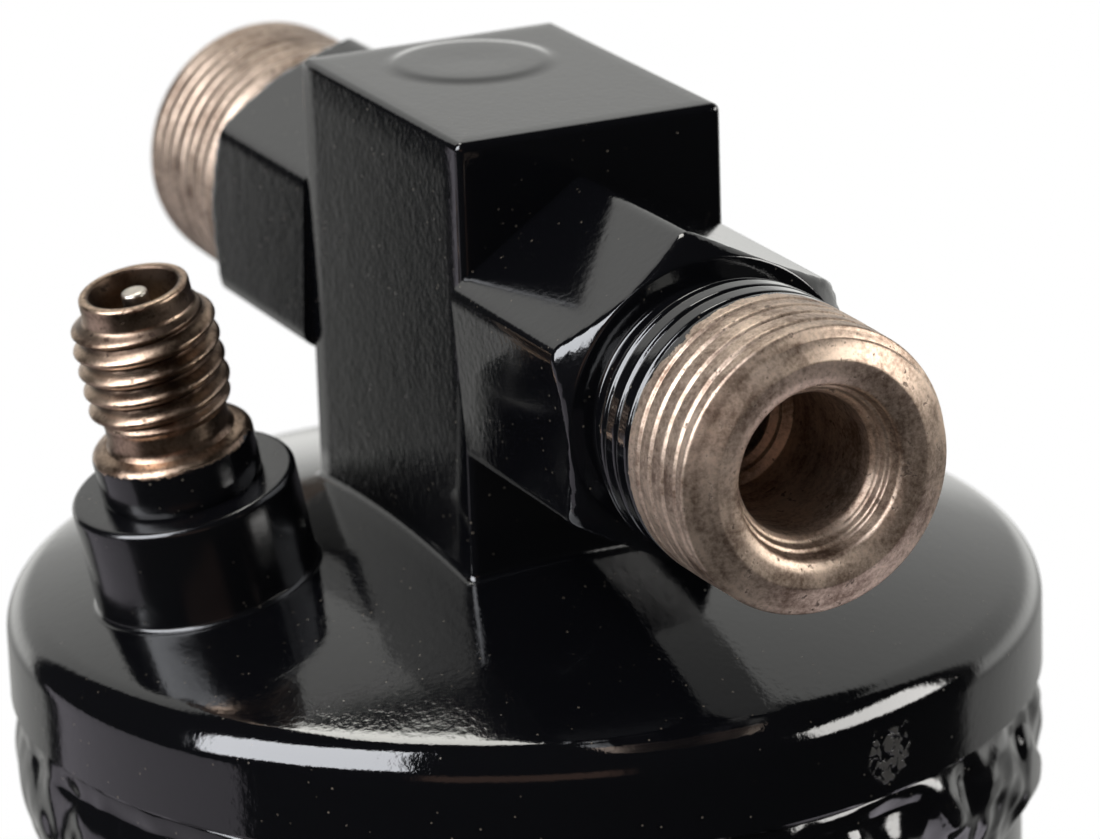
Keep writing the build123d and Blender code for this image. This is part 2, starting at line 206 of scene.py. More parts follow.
def rounded(corners, steps=5):
    # the polyline through (height, radius, rounding), each corner cut back by its rounding and
    # bridged by a quadratic curve through the cuts, with the corner as its handle
    points = np.array([c[:2] for c in corners], float)
    rounds = [c[2] if len(c) > 2 else 0.0 for c in corners]
    path = [points[0]]
    t = np.linspace(0, 1, steps + 1)[:, None]
    for i in range(1, len(points) - 1):
        back, ahead = points[i - 1] - points[i], points[i + 1] - points[i]
        a, b = np.linalg.norm(back), np.linalg.norm(ahead)
        cut = min(rounds[i], a * 0.49, b * 0.49)
        if cut <= 0:
            path.append(points[i])
            continue
        start, end = points[i] + back / a * cut, points[i] + ahead / b * cut
        curve = (1 - t) ** 2 * start + 2 * t * (1 - t) * points[i] + t**2 * end
        path.extend(curve)
    path.append(points[-1])
    return np.array(path)


def spaced(path, longest):
    # the same path with extra points, so that no run is longer than this
    out = [path[:1]]
    for a, b in zip(path[:-1], path[1:]):
        parts = max(1, int(math.ceil(np.linalg.norm(b - a) / longest)))
        out.append(a + (b - a) * (np.arange(1, parts + 1) / parts)[:, None])
    return np.concatenate(out)


def frameOf(line):
    # two unit vectors square to a line and to each other
    line = line / np.linalg.norm(line)
    guide = np.array([0.0, 0.0, 1.0]) if abs(line[2]) < 0.9 else np.array([1.0, 0.0, 0.0])
    first = np.cross(guide, line)
    first /= np.linalg.norm(first)
    return first, np.cross(line, first)


def turned(foot, line, heights, radii, turns):
    # a point at height h, radius r and turn a is foot + h * line + r * (cos a * first + sin a * second)
    line = line / np.linalg.norm(line)
    first, second = frameOf(line)
    around = np.cos(turns)[..., None] * first + np.sin(turns)[..., None] * second
    return foot + heights[..., None] * line + radii[..., None] * around


def skin(name, grid, material, body=canister, sharp=35.0, replaces=()):
    # rows of the grid run along the profile and its columns go round; the columns join up, a row
    # shrunk to one point becomes a pole, and rows without poles join up with each other
    rows, columns = grid.shape[:2]
    flat = grid.reshape(-1, 3)
    index = np.arange(rows * columns).reshape(rows, columns)
    poles = [np.ptp(grid[k], axis=0).max() < 1e-7 for k in (0, -1)]
    for k, pole in zip((0, -1), poles):
        if pole:
            index[k] = index[k, 0]
    if not any(poles):
        index = np.vstack([index, index[:1]])
    a, b = index[:-1], index[1:]
    quads = np.stack([a, np.roll(a, -1, 1), np.roll(b, -1, 1), b], -1).reshape(-1, 4)
    same = (quads[:, 0] == quads[:, 1]) | (quads[:, 2] == quads[:, 3])
    faces = quads[~same]
    tips = np.array([list(dict.fromkeys(q)) for q in quads[same].tolist()], int).reshape(-1, 3)
    centre = flat.mean(0)
    v = flat - centre
    volume = np.einsum("ij,ij->", v[faces[:, 0]], np.cross(v[faces[:, 1]], v[faces[:, 2]]))
    volume += np.einsum("ij,ij->", v[faces[:, 0]], np.cross(v[faces[:, 2]], v[faces[:, 3]]))
    if volume < 0:
        faces, tips = faces[:, ::-1], tips[:, ::-1]
    used, new = np.unique(np.concatenate([faces.ravel(), tips.ravel()]), return_inverse=True)
    faces, tips = new[:faces.size].reshape(-1, 4), new[faces.size:].reshape(-1, 3)
    mesh = bpy.data.meshes.new(name)
    mesh.from_pydata((flat[used] * mm).tolist(), [], faces.tolist() + tips.tolist())
    mesh.update()
    mesh.shade_smooth()
    mesh.set_sharp_from_angle(angle=math.radians(sharp))
    mesh.materials.append(material)
    piece = bpy.data.objects.new(name, mesh)
    bpy.context.scene.collection.objects.link(piece)
    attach(piece, body)
    if replaces:
        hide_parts(*replaces)
    return piece


def around(count):
    return np.arange(count) * 2 * math.pi / count


def crown(x, y):
    # height of the cap's crown over a point
    return crownCentre + np.sqrt(crownRadius**2 - x**2 - y**2)


def ripples(seed, angles, heights, waves, reach):
    # a sum of cosines with whole numbers of waves round the axis, so that it closes on itself
    chance = np.random.default_rng(seed)
    total = np.zeros(np.broadcast(angles, heights).shape)
    for number, weight in waves:
        slant, phase = chance.uniform(-1, 1), chance.uniform(0, 2 * math.pi)
        total += weight * np.cos(number * angles + slant * heights / reach * 2 * math.pi + phase)
    return total


def lumpy(seed, angles, heights, radius, lengths):
    # for each wave length in mm, eight cosines that run in all directions over a cylinder
    chance = np.random.default_rng(seed)
    total = np.zeros(np.broadcast(angles, heights).shape)
    for length, weight in lengths:
        for course in (np.arange(8) + chance.uniform(0, 1, 8)) * math.pi / 8:
            number = round(2 * math.pi * radius * math.cos(course) / length)
            climb = 2 * math.pi * math.sin(course) / length
            total += weight / 3 * np.cos(number * angles + climb * heights + chance.uniform(0, 2 * math.pi))
    return total


# ---- finishes

paint = {"base": (0.0022, 0.0023, 0.003), "rough": 0.06, "peelSize": 2.6, "peelDepth": 0.012,
         "grainSize": 0.6, "grainDepth": 0.02, "dustSize": 1.0}


def paintParts(finish, values=paint):
    # gloss black with orange peel, a fine grain and a little dust
    peel = finish.noise(values["peelSize"], detail=1.0)
    grain = finish.noise(values["grainSize"], detail=3.0)
    patch = finish.noise(14.0, detail=4.0)
    normal = finish.bump(grain, values["grainDepth"], finish.bump(peel, values["peelDepth"]))
    near = finish.spots(values["dustSize"])
    chosen = finish.noise(5.0, detail=1.0).step(0.42, 0.6)
    dust = near.step(0.12, 0.05) * chosen
    colour = finish.mix(dust * 0.3, values["base"], (0.26, 0.22, 0.17))
    rough = values["rough"] + patch.step(0.45, 0.75) * 0.07 + dust * 0.4
    return colour, rough, normal


dullPaint = {**paint, "rough": 0.2, "peelDepth": 0.03, "grainDepth": 0.02}


def paintFinish(name, coatRough=0.03, **changes):
    finish = Finish(name, {"IOR": 1.5, "Coat Weight": 0.6, "Coat Roughness": coatRough, "Coat IOR": 1.5})
    colour, rough, normal = paintParts(finish, {**paint, **changes})
    return finish.feed(colour=colour, rough=rough, normal=normal)


spatter = {"place": (0.03811, 0.01129, 0.2234), "radius": 2.3}


def capFinish():
    # the same paint with one rough patch on the skirt, where spatter lies under the paint
    finish = Finish("capPaint", {"IOR": 1.5, "Coat Weight": 0.6, "Coat Roughness": 0.03, "Coat IOR": 1.5})
    colour, rough, normal = paintParts(finish)
    away = finish.add("ShaderNodeVectorMath", {"operation": "DISTANCE"},
                      {0: finish.place, 1: spatter["place"]}, out="Value")
    ragged = finish.noise(2.6, detail=2.0) - 0.5
    patch = (away + ragged * 5.0 * mm).step(spatter["radius"] * mm, (spatter["radius"] - 0.5) * mm)
    crumbs = finish.noise(1.1, detail=2.0, distortion=1.2).step(0.46, 0.53) * patch
    colour = finish.mix(crumbs * 0.8, colour, (0.06, 0.057, 0.052))
    rough = rough + crumbs * 0.3
    return finish.feed(colour=colour, rough=rough, normal=finish.bump(crumbs, 0.03, normal))


steel = {"light": (0.72, 0.57, 0.455), "dark": (0.17, 0.11, 0.078), "rough": 0.36,
         "ringSize": 0.20, "ringDepth": 0.018, "metal": 0.9}


def steelParts(finish, along, radial, recessShade, values=steel):
    # turned steel with a worn warm plating: fine rings along the axis, stains and small dark nicks;
    # where the recess mask is 1 the colour is darkened as painted shade
    rings = finish.add("ShaderNodeCombineXYZ", {}, {"X": along, "Y": radial * 0.9, "Z": 0.0})
    fine = finish.noise(values["ringSize"], detail=3.0, rough=0.7, at=rings)
    coarse = finish.noise(1.3, detail=2.0, at=rings)
    stain = finish.noise(3.6, detail=6.0, rough=0.72)
    speck = finish.noise(0.34, detail=3.0, rough=0.7)
    nick = finish.noise(0.9, detail=3.0, rough=0.7)
    tone = coarse * 0.35 + stain * 0.75 + speck * 0.4 - 0.25
    colour = finish.mix(tone.step(0.30, 0.66), values["dark"], values["light"])
    # real dark nicks plus painted shade in the recesses, mixed into one dark brown
    nicksAndShade = (nick.step(0.60, 0.70) * 0.7 + recessShade * (0.45 + stain * 0.6)).clamp()
    colour = finish.mix(nicksAndShade, colour, (0.055, 0.036, 0.027))
    rough = values["rough"] + stain * 0.16 + nicksAndShade * 0.12
    height = fine * 0.6 + coarse * 0.25 + speck * 0.25
    normal = finish.bump(nick.step(0.60, 0.72), -0.02, finish.bump(height, values["ringDepth"]))
    return colour, rough, normal


def hoseFinish(name, side, edge, wander):
    # bare on the threaded end and painted toward the block, with a ragged limit between them
    finish = Finish(name, {"IOR": 1.5, "Coat Roughness": 0.06})
    x, y, z = (finish.axis(finish.place, k) for k in "XYZ")
    along = x * side
    up = z - hoseLevel * mm
    radial = (y * y + up * up) ** 0.5
    # painted shade: the inner ring of the hex's end face, next to the relief, is darkened as if in shadow
    recessShade = radial.step(10.3 * mm, 10.15 * mm) * along.step(34.9 * mm, 34.3 * mm) * radial.step(9.0 * mm, 9.4 * mm)
    bare, bareRough, bareNormal = steelParts(finish, along, radial, recessShade)
    black, blackRough, blackNormal = paintParts(finish)
    ragged = finish.noise(1.6, detail=4.0, rough=0.7) - 0.5
    slow = finish.noise(9.0, detail=1.0) - 0.5
    limit = along + (ragged * wander + slow * wander * 1.6) * mm
    mask = limit.step((edge - 0.06) * mm, (edge + 0.06) * mm)
    inside = radial.step(7.4 * mm, 7.0 * mm)
    mask = (mask + inside).clamp()
    colour = finish.mix(mask, black, bare)
    rough = blackRough + (bareRough - blackRough) * mask
    normal = finish.mix(mask, blackNormal, bareNormal, "VECTOR")
    return finish.feed(colour=colour, rough=rough, metal=mask * steel["metal"], coat=(1 - mask) * 0.6, normal=normal)


blackPaint = paintFinish("blackPaint")
beadPaint = paintFinish("beadPaint", peelDepth=0.03, peelSize=1.9)
capPaint = capFinish()
bossPaint = paintFinish("bossPaint", coatRough=0.14, **dullPaint)
outletSteel = hoseFinish("outletSteel", 1, 40.5, 1.7)
inletSteel = hoseFinish("inletSteel", -1, 33.4, 0.8)
print("main finishes made")

# ---- canister

shell = {"radius": 38.1, "bore": 36.5, "floor": 1.6, "corner": 4.0, "top": 225.0, "columns": 192}


def canShell():
    # a can turned about Z: floor, corner arc, wall to the rim, and back down the inside
    s = shell
    path = spaced(rounded([
        (0, 0), (0, s["radius"], s["corner"] * 1.3), (s["top"], s["radius"], 0.2), (s["top"], s["bore"], 0.2),
        (s["floor"], s["bore"], 2.4), (s["floor"], 0)], 8), 9.0)
    turns = around(s["columns"])[None, :]
    heights, radii = path[:, :1] + 0 * turns, path[:, 1:] + 0 * turns
    grid = turned(np.zeros(3), np.array([0, 0, 1.0]), heights, radii, turns + 0 * radii)
    return skin("canShell", grid, blackPaint, replaces=["lower_shell"])


cap = {"radius": 39.75, "edge": 220.0, "shoulderLevel": 225.35, "shoulder": 3.2, "wall": 1.6,
       "columns": 288, "lift": 0.05}


def capDome():
    # a cap turned about Z: crown arc, shoulder arc and skirt outside, and the same less a wall inside,
    # with the crown a little uneven, as pressed sheet is
    c = cap
    reach = c["radius"] - c["shoulder"]
    lean = math.asin(reach / (crownRadius - c["shoulder"]))
    shares = []
    for thick, way in ((0.0, 1), (c["wall"], -1)):
        crownTurn = np.linspace(0, lean, 46)
        shoulderTurn = np.linspace(lean, math.pi / 2, 15)[1:]
        crownPart = np.stack([crownCentre + (crownRadius - thick) * np.cos(crownTurn),
                              (crownRadius - thick) * np.sin(crownTurn)], -1)
        bend = c["shoulder"] - thick
        shoulderPart = np.stack([c["shoulderLevel"] + bend * np.cos(shoulderTurn),
                                 reach + bend * np.sin(shoulderTurn)], -1)
        skirtPart = np.array([[c["edge"] + (0.3 if not thick else 0.15), c["radius"] - thick],
                              [c["edge"], c["radius"] - thick - (0.25 if not thick else -0.25)]])
        skirtPart = np.vstack([np.linspace(shoulderPart[-1], skirtPart[0], 5)[1:], skirtPart[1:]])
        whole = np.vstack([crownPart, shoulderPart, skirtPart])
        shares.append(whole[::way])
    path = np.vstack(shares)
    turns = around(c["columns"])[None, :] + np.zeros((len(path), 1))
    heights, radii = path[:, :1] + 0 * turns, path[:, 1:] + 0 * turns
    uneven = ripples(3, turns, radii, [(2, 0.5), (3, 0.35), (5, 0.25)], 70.0)
    heights = heights - c["lift"] * (1 + uneven / 1.1) / 2 * np.clip(radii / 20, 0, 1)
    grid = turned(np.zeros(3), np.array([0, 0, 1.0]), heights, radii, turns)
    return skin("capDome", grid, capPaint, replaces=["top_cap"])


bead = {"top": 219.95, "height": 11.3, "crest": 40.04, "under": 38.9, "shell": 38.1, "columns": 720, "rows": 64,
        "wander": [(3, 0.3), (5, 0.3), (9, 0.25), (14, 0.15)],
        "lumps": [(15.0, 0.5), (8.0, 0.5), (4.8, 0.35), (2.8, 0.10)], "depth": 1.0}


def seamBead():
    # a bead turned about Z, lumpy all over, whose foot wanders with a sum of cosines; it is calmer
    # on the side away from +Y
    b = bead
    turns = around(b["columns"])[None, :]
    t = np.linspace(0, 1, b["rows"])[:, None]
    wander = ripples(11, turns, 0 * turns, b["wander"], 10.0)
    height = b["height"] - 0.6 + 0.6 * np.clip(wander, -1, 1)
    heights = b["top"] - t * height
    swell = np.sin(np.pi * np.clip(t, 0, 1) ** 0.9) ** 0.7
    lumps = np.tanh(lumpy(12, turns, heights, b["crest"], b["lumps"]))
    rough = 0.6 + 0.4 * np.cos(turns - 2.2)
    sink = b["depth"] * (0.70 - 0.25 * rough + rough * (0.1 - lumps) * 0.75)
    inner = b["shell"] + (b["under"] - b["shell"]) * np.clip(1 - t * 1.15, 0, 1) ** 0.8
    radii = inner + (b["crest"] + 0.25 - inner) * swell - sink * np.clip(6 * t, 0, 1) * np.clip(4 - 4 * t, 0, 1)
    radii = np.minimum(radii, b["crest"])
    back = np.full((1, b["columns"]), 37.4)
    heights = np.vstack([heights, heights[-1:], heights[:1]])
    radii = np.vstack([radii, back, back])
    grid = turned(np.zeros(3), np.array([0, 0, 1.0]), heights, radii, turns + 0 * radii)
    return skin("seamBead", grid, beadPaint, replaces=["seam_weld"], sharp=50)


# ---- port block with its plug

block = {"halfLength": 14.3, "halfWidth": 10.7, "top": 266.3634, "round": 0.6, "fillet": 0.55, "sink": 0.5}


def loopOf(length, width, corner, perSide=14, perCorner=7):
    # a rounded rectangle: four corner arcs joined by straight sides, walked once round
    parts = []
    corner = np.asarray(corner, float)
    for k, (sx, sy) in enumerate(((1, 1), (-1, 1), (-1, -1), (1, -1))):
        turn = np.linspace(k * math.pi / 2, (k + 1) * math.pi / 2, perCorner)
        x = sx * (length - corner) + corner * np.cos(turn)
        y = sy * (width - corner) + corner * np.sin(turn)
        parts.append(np.stack([x, y], -1))
    path = []
    for k in range(4):
        path.append(parts[k])
        a, b = parts[k][-1], parts[(k + 1) % 4][0]
        path.append(a + (b - a) * (np.arange(1, perSide) / perSide)[:, None])
    return np.vstack(path)


def portBlock():
    # rounded rectangles stacked up: spread at the foot where the braze runs out on the crown,
    # straight up the sides, rounded over at the top and closed in to the middle of the top face
    b = block
    rows = []
    start = loopOf(b["halfLength"], b["halfWidth"], b["round"])
    under = start * 0.35
    rows.append(np.repeat([[0, 0, crown(0, 0) - b["sink"]]], len(start), 0))
    rows.append(np.column_stack([under, crown(*under.T) - b["sink"]]))
    for t in np.linspace(0, 1, 9):
        spread = b["fillet"] * (1 - math.sin(t * math.pi / 2))
        rise = b["fillet"] * (1 - math.cos(t * math.pi / 2))
        edge = loopOf(b["halfLength"] + spread, b["halfWidth"] + spread, b["round"] + spread)
        if t == 0:
            rows.append(np.column_stack([edge, crown(*edge.T) - b["sink"]]))
        rows.append(np.column_stack([edge, crown(*edge.T) + rise]))
    low = rows[-1][:, 2]
    for t in np.linspace(0, 1, 14)[1:-1]:
        rows.append(np.column_stack([start, low + (b["top"] - b["round"] - low) * t]))
    for t in np.linspace(0, math.pi / 2, 7):
        inset = b["round"] * (1 - math.cos(t))
        edge = loopOf(b["halfLength"] - inset, b["halfWidth"] - inset, max(b["round"] - inset, 0.02))
        level = b["top"] - b["round"] * (1 - math.sin(t))
        rows.append(np.column_stack([edge, np.full(len(edge), level)]))
    last = rows[-1]
    for share in (0.9, 0.75, 0.55, 0.3, 0.0):
        rows.append(np.column_stack([last[:, :2] * share, last[:, 2]]))
    grid = np.stack(rows)
    return skin("portBlock", grid, blackPaint, replaces=["port_block", "block_braze"])


plug = {"x": -6.3, "radius": 6.05, "height": 0.24, "soft": 1.5}


def topPlug():
    # a low disc turned about its own line, with a soft edge and a slightly hollow middle
    p = plug
    path = spaced(rounded([
        (-1.0, 0), (-1.0, p["radius"] + p["soft"]), (-0.02, p["radius"] + p["soft"]),
        (0.02, p["radius"] + 0.3, 0.6), (p["height"] - 0.02, p["radius"] - 0.5, 0.6),
        (p["height"], p["radius"] - 1.8, 1.0), (p["height"] - 0.05, 0)], 7), 0.8)
    turns = around(128)[None, :] + np.zeros((len(path), 1))
    foot = np.array([p["x"], 0, block["top"]])
    grid = turned(foot, np.array([0, 0, 1.0]), path[:, :1] + 0 * turns, path[:, 1:] + 0 * turns, turns)
    return skin("topPlug", grid, blackPaint, replaces=["block_plug"])


# ---- hose fittings

hose = {"face": 14.3, "flats": 11.2, "hexLength": 18.5, "hexChamfer": 1.8, "cornerRound": 0.16,
        "spigot": 7.95, "relief": 9.2, "reliefEnd": 20.3, "crest": 10.42, "noseCrest": 10.34, "grooveDepth": 0.22,
        "pitch": 1.78, "grooveWidth": 0.17, "start": 33.9, "threadEnd": 34.05, "end": 35.18, "edge": 8.15,
        "mouth": 6.25, "mouthDepth": 0.5, "entry": 2.9, "bore": 5.1, "boreDepth": 14.0, "waist": 3.7, "columns": 252}


def hexRadius(turns, apothem, soft):
    # distance to a hexagon's side in each direction, with its corners taken off by a small amount
    sector = (turns + math.pi / 6) % (math.pi / 3) - math.pi / 6
    side = apothem / np.cos(sector)
    corner = apothem / math.cos(math.pi / 6) - soft
    blend = 0.18
    gap = np.clip(0.5 + 0.5 * (corner - side) / blend, 0, 1)
    return corner * (1 - gap) + side * gap - blend * gap * (1 - gap)


def hoseFitting(name, side, clock, material):
    # turned about the hose line: hexagon cut by a cone at its outer end, relief, screw thread, bevelled
    # face, ringed mouth and shouldered bore; the thread is a round groove cut along a line that
    # climbs one pitch each turn
    h = hose
    corner = h["flats"] / math.cos(math.pi / 6)
    path = rounded([
        (-3.6, h["spigot"]), (-0.2, h["spigot"]), (0.0, h["spigot"] + 0.2), (0.0, corner + 0.1),
        (h["hexLength"] - h["hexChamfer"] - 0.1, corner + 0.1, 0.12),
        (h["hexLength"], corner - h["hexChamfer"], 0.14), (h["hexLength"] + 0.03, h["relief"], 0.35),
        (h["reliefEnd"], h["relief"], 0.3), (h["reliefEnd"] + 1.2, h["crest"], 0.2),
        (h["threadEnd"] - 4.5, h["crest"], 1.0), (h["threadEnd"], h["noseCrest"], 0.22),
        (h["end"], h["edge"], 0.16), (h["end"] - 0.18, h["edge"] - 1.2, 0.3),
        (h["end"] - h["mouthDepth"], h["mouth"], 0.3),
        (h["end"] - 1.6, h["mouth"] - 0.2, 0.2), (h["end"] - 1.75, h["mouth"] - 0.5, 0.15),
        (h["end"] - 2.3, h["mouth"] - 0.65, 0.2), (h["end"] - 2.5, h["mouth"] - 0.9, 0.15),
        (h["end"] - h["entry"], h["bore"], 0.15), (h["end"] - h["boreDepth"], h["bore"], 0.12),
        (h["end"] - h["boreDepth"] - 0.3, h["waist"] + 0.65, 0.1),
        (h["end"] - h["boreDepth"] - 0.7, h["waist"] + 0.6, 0.1),
        (h["end"] - h["boreDepth"] - 0.9, h["waist"], 0.1), (-3.6, h["waist"])], 5)
    path = spaced(path, 0.8)
    inThread = (path[:, 0] > h["reliefEnd"] - 0.3) & (path[:, 1] > h["relief"] - 0.1) & (path[:, 1] < h["crest"] + 0.01)
    first, last = np.flatnonzero(inThread)[[0, -1]]
    path = np.vstack([path[:first], spaced(path[first:last + 1], 0.09), path[last + 1:]])
    turns = around(h["columns"])[None, :] + math.radians(clock) + np.zeros((len(path), 1))
    heights, radii = path[:, :1] + 0 * turns, path[:, 1:] + 0 * turns
    onHex = (heights > -0.01) & (heights < h["hexLength"] + 0.02) & (radii > h["relief"] + 0.3)
    sixSides = hexRadius(turns - math.radians(clock), h["flats"], h["cornerRound"])
    radii = np.where(onHex, np.minimum(radii, sixSides), radii)
    climb = (heights - h["start"]) / h["pitch"] - turns / (2 * math.pi)
    away = (climb - np.round(climb)) * h["pitch"]
    worn = 0.85 + 0.4 * np.cos(turns - 1.3) + 0.2 * ripples(21 + side, turns, heights, [(2, 0.5), (5, 0.5)], 6.0)
    cut = h["grooveDepth"] * worn * np.exp(-((away / h["grooveWidth"]) ** 2))
    cut = cut * np.clip((heights - h["reliefEnd"] - 0.4) / 0.9, 0, 1)
    fade = np.clip((h["end"] - 0.35 - heights) / 0.5, 0, 1)
    onThread = (radii > h["relief"]) & (heights > h["reliefEnd"])
    radii = np.where(onThread, radii - cut * fade, radii)
    foot = np.array([side * h["face"], 0, hoseLevel])
    grid = turned(foot, np.array([float(side), 0, 0]), heights, radii, turns)
    return skin(name, grid, material, replaces=[name[:-7].lower() + "_fitting"], sharp=55)


# ---- service valve

boss = {"radius": 8.5, "height": 8.1, "rim": 0.5, "fillet": 0.4}


def valveBoss():
    # turned about the valve's line, with its foot run down to the crown in every direction
    b = boss
    turns = around(192)
    first, second = frameOf(valveLine)
    rows = []

    def ring(radius, height):
        return turned(valveFoot, valveLine, np.broadcast_to(height, turns.shape).astype(float),
                      np.full(turns.shape, float(radius)), turns)

    def ground(radius):
        # height above the foot, along the line, at which the crown is met
        side = ring(radius, 0.0) - np.array([0, 0, crownCentre])
        along = side @ valveLine
        return -along + np.sqrt(along**2 - (side**2).sum(-1) + crownRadius**2)

    rows.append(np.repeat([valveFoot - valveLine * 0.6], len(turns), 0))
    rows.append(ring(b["radius"] * 0.6, ground(b["radius"] * 0.6) - 0.6))
    spread = b["radius"] + b["fillet"]
    rows.append(ring(spread, ground(spread) - 0.4))
    for t in np.linspace(0, math.pi / 2, 9):
        radius = b["radius"] + b["fillet"] * (1 - math.sin(t))
        rows.append(ring(radius, ground(radius) + b["fillet"] * (1 - math.cos(t))))
    low = ground(b["radius"]) + b["fillet"]
    for t in np.linspace(0, 1, 8)[1:-1]:
        rows.append(ring(b["radius"], low + (b["height"] - b["rim"] - low) * t))
    for t in np.linspace(0, math.pi / 2, 8):
        rows.append(ring(b["radius"] - b["rim"] * (1 - math.cos(t)), b["height"] - b["rim"] * (1 - math.sin(t))))
    rows.append(ring(6.3, b["height"]))
    rows.append(ring(3.0, b["height"] - 0.05))
    rows.append(np.repeat([valveFoot + valveLine * (b["height"] - 0.05)], len(turns), 0))
    return skin("valveBoss", np.stack(rows), bossPaint,
                replaces=["valve_boss", "boss_braze"])


valve = {"foot": 3.0, "stub": 4.4, "boss": 8.1, "collar": 6.1, "collarTop": 11.6, "neck": 4.6,
         "threadFoot": 14.3, "threadTop": 22.3, "crest": 5.43, "root": 4.55, "pitch": 1.64, "tip": 4.15,
         "end": 24.25, "mouth": 3.35, "mouthDepth": 3.4, "bore": 2.93, "columns": 216}


def valveBody():
    # turned about the valve's line: stub, dished collar, neck, round screw thread, tip and mouth
    v = valve
    path = rounded([
        (v["foot"], 0), (v["foot"], v["stub"]), (v["boss"] - 0.1, v["stub"]), (v["boss"] - 0.02, v["collar"] - 0.1),
        (v["boss"] + 0.35, v["collar"], 0.3), (v["collarTop"] - 0.1, v["collar"], 0.4),
        (v["collarTop"] + 0.25, v["collar"] - 0.35, 0.35), (v["collarTop"] + 0.55, v["collar"] - 1.15, 0.3),
        (v["collarTop"] + 0.5, v["neck"] + 0.3, 0.25), (v["collarTop"] + 0.95, v["neck"], 0.4),
        (v["threadFoot"] - 0.3, v["neck"], 0.3), (v["threadFoot"] + 0.5, v["crest"], 0.3),
        (v["threadTop"] - 0.7, v["crest"], 0.3), (v["threadTop"] + 0.1, v["tip"], 0.3),
        (v["end"], v["tip"], 0.35), (v["end"], v["mouth"] + 0.02, 0.28), (v["end"] - 1.0, v["mouth"] - 0.1, 0.2),
        (v["end"] - v["mouthDepth"], v["mouth"] - 0.15, 0.2), (v["end"] - v["mouthDepth"] - 0.1, 0)], 5)
    path = spaced(path, 0.9)
    inThread = (path[:, 0] > v["threadFoot"] - 0.4) & (path[:, 0] < v["threadTop"] + 0.2) & (path[:, 1] > 4.0)
    first, last = np.flatnonzero(inThread)[[0, -1]]
    path = np.vstack([path[:first], spaced(path[first:last + 1], 0.1), path[last + 1:]])
    turns = around(v["columns"])[None, :] + np.zeros((len(path), 1))
    heights, radii = path[:, :1] + 0 * turns, path[:, 1:] + 0 * turns
    phase = (heights - v["pitch"] * (turns / (2 * math.pi) + 0.35)) / v["pitch"]
    wave = (0.5 + 0.5 * np.cos(2 * math.pi * phase)) ** 0.8
    onThread = (heights > v["threadFoot"] - 0.5) & (heights < v["threadTop"] + 0.3) & (radii > 3.9)
    full = v["root"] + (np.maximum(radii, v["root"]) - v["root"]) * wave
    radii = np.where(onThread, np.where(radii > v["root"], full, radii), radii)
    grid = turned(valveFoot, valveLine, heights, radii, turns)
    return skin("valveBody", grid, valveSteel,
                replaces=["service_valve"], sharp=40)


def valveFinish():
    # bare turned steel, painted up to the shoulder of the collar; the thread roots and the inside of the mouth are
    # darkened as painted shade
    finish = Finish("valveSteel", {"IOR": 1.5, "Coat Roughness": 0.06})
    x, y, z = (finish.axis(finish.place, k) for k in "XYZ")
    dx, dy, dz = (w - float(valveFoot[k]) * mm for k, w in enumerate((x, y, z)))
    along = dx * float(valveLine[0]) + dy * float(valveLine[1]) + dz * float(valveLine[2])
    square = dx * dx + dy * dy + dz * dz - along * along
    radial = square.calc("MAXIMUM", square, 0.0) ** 0.5
    # painted shade: inside the mouth and in the thread roots the steel is darkened as if in shadow
    mouthShade = radial.step(3.75 * mm, 3.45 * mm) * along.step(20 * mm, 21 * mm)
    recessShade = (radial.step(5.0 * mm, 4.62 * mm) * along.step(14.6 * mm, 15.2 * mm) * radial.step(4.1 * mm, 4.3 * mm)
             * along.step(22.6 * mm, 22.2 * mm) + mouthShade).clamp()
    bare, bareRough, bareNormal = steelParts(finish, along, radial, recessShade, {
        **steel, "light": (0.62, 0.46, 0.34), "dark": (0.16, 0.10, 0.068), "rough": 0.24, "ringDepth": 0.008})
    black, blackRough, blackNormal = paintParts(finish, dullPaint)
    ragged = finish.noise(1.1, detail=4.0, rough=0.7) - 0.5
    mask = (along + ragged * 1.2 * mm).step(11.45 * mm, 11.6 * mm)
    colour = finish.mix(mask, black, bare)
    return finish.feed(colour=colour, rough=blackRough + (bareRough - blackRough) * mask, metal=mask,
                       coat=(1 - mask) * 0.6, normal=finish.mix(mask, blackNormal, bareNormal, "VECTOR"))


valveSteel = valveFinish()

core = {"top": 20.85, "radius": 2.9, "bore": 2.0, "length": 7.6, "floor": 1.0, "pinHole": 0.78}
pin = {"top": 23.95, "foot": 10.6, "radius": 0.7, "head": 1.0, "headLength": 1.6, "collet": 1.6,
       "colletFoot": 19.25, "colletHeight": 0.8}


def coreBarrel(material):
    # an open barrel turned about the valve's line, with a drilled floor
    c = core
    foot = c["top"] - c["length"]
    path = spaced(rounded([
        (foot, c["pinHole"]), (foot, c["radius"], 0.15), (c["top"], c["radius"], 0.15), (c["top"], c["bore"], 0.2),
        (foot + c["floor"], c["bore"], 0.1), (foot + c["floor"], c["pinHole"])], 4), 1.2)
    turns = around(96)[None, :] + np.zeros((len(path), 1))
    grid = turned(valveFoot, valveLine, path[:, :1] + 0 * turns, path[:, 1:] + 0 * turns, turns)
    return skin("coreBarrel", grid, material, replaces=["valve_core"])


